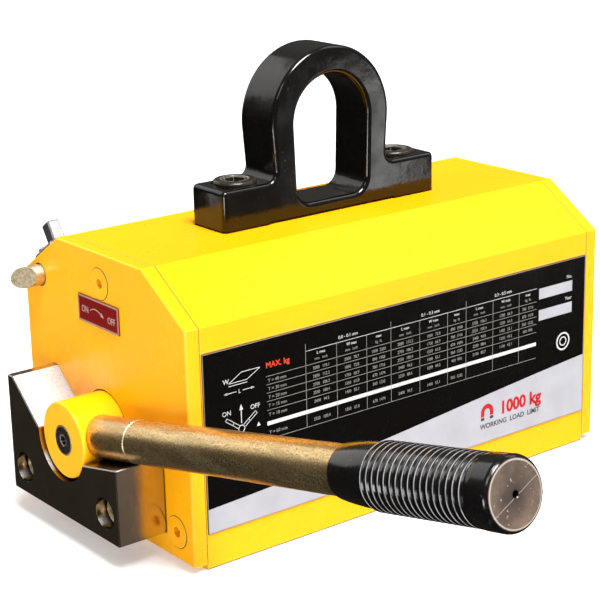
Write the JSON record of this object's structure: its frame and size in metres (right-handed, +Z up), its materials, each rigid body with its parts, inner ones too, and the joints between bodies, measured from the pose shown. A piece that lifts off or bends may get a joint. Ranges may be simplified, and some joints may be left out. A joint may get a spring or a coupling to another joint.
{
  "type": "lifting magnet",
  "caption": "Switchable permanent lifting magnet: chamfered block housing, bolted round-top lifting eye, swing lever with ribbed grip over a V stop block and a spring latch pin.",
  "frame": {"origin": "middle of the bottom pole face, midway between the two end plates' outer faces", "axes": "+X along the housing away from the lever's end, -Y the side with the data plate and the lever at OFF, +Z up"},
  "size_m": [0.2901, 0.3673, 0.2239],
  "materials": {
    "yellow_paint": "glossy machine enamel",
    "black_enamel": "thick gloss enamel over a forging",
    "dark_steel": "ground, dark and reflective",
    "galvanised": "zinc plated with a warm passivate, worn",
    "yellow_zinc": "yellow passivated zinc",
    "bright_zinc": "bright zinc plate",
    "machined_steel": "machined",
    "black_oxide": "black oxide",
    "magnet": "nickel plated magnet",
    "brass": "machined",
    "bronze": "machined bearing bronze",
    "grip_plastic": "moulded, slightly glossy",
    "seal_rubber": "matt",
    "label_print": "printed foil, black and silver",
    "badge_red": "printed foil, dark red"
  },
  "bodies": {
    "housing": {"bottom_spacer": "brass", "eye_bolts": "black_oxide", "front_bush": "bronze", "front_end_plate": "yellow_paint", "front_plate_screws": "yellow_paint", "latch_guide": "bright_zinc", "latch_guide_screws": "bright_zinc", "latch_spring": "machined_steel", "left_pole": "yellow_paint", "lifting_eye": "black_enamel", "on_off_badge": "badge_red", "rear_bush": "bronze", "rear_end_plate": "yellow_paint", "rear_plate_screws": "yellow_paint", "right_pole": "yellow_paint", "shaft_seal": "seal_rubber", "side_label": "label_print", "stator_magnets": "magnet", "stop_block": "dark_steel", "stop_block_screws": "yellow_zinc", "thrust_washers": "machined_steel", "top_block": "yellow_paint", "upper_spacer": "brass"},
    "lever": {"upper_rotor_pole": "machined_steel", "lower_rotor_pole": "machined_steel", "rotor_magnets": "magnet", "rotor_side_strips": "brass", "front_rotor_shaft": "machined_steel", "rear_rotor_shaft": "machined_steel", "rotor_flange_screws": "black_oxide", "hub": "yellow_paint", "hub_key": "machined_steel", "hub_screw": "black_oxide", "lever_stub": "galvanised", "lever_tube": "galvanised", "grip": "grip_plastic"},
    "latch": {"latch_pin": "yellow_zinc", "thumb_knob": "bright_zinc"}
  },
  "joints": [
    {"name": "lever_swing", "type": "hinge", "parent": "housing", "child": "lever", "pos_m": [-0.132, 0, 0.0517], "axis": [-1, 0, 0], "range_deg": [0, 129.6]},
    {"name": "latch_slide", "type": "slide", "parent": "housing", "child": "latch", "axis": [1, 0, 0], "range_m": [0, 0.0136], "deforming": ["latch_spring"]}
  ],
  "couplings": [
    {"joint": "latch_slide", "follows": "lever_swing", "m_per_rad": 0.006}
  ]
}
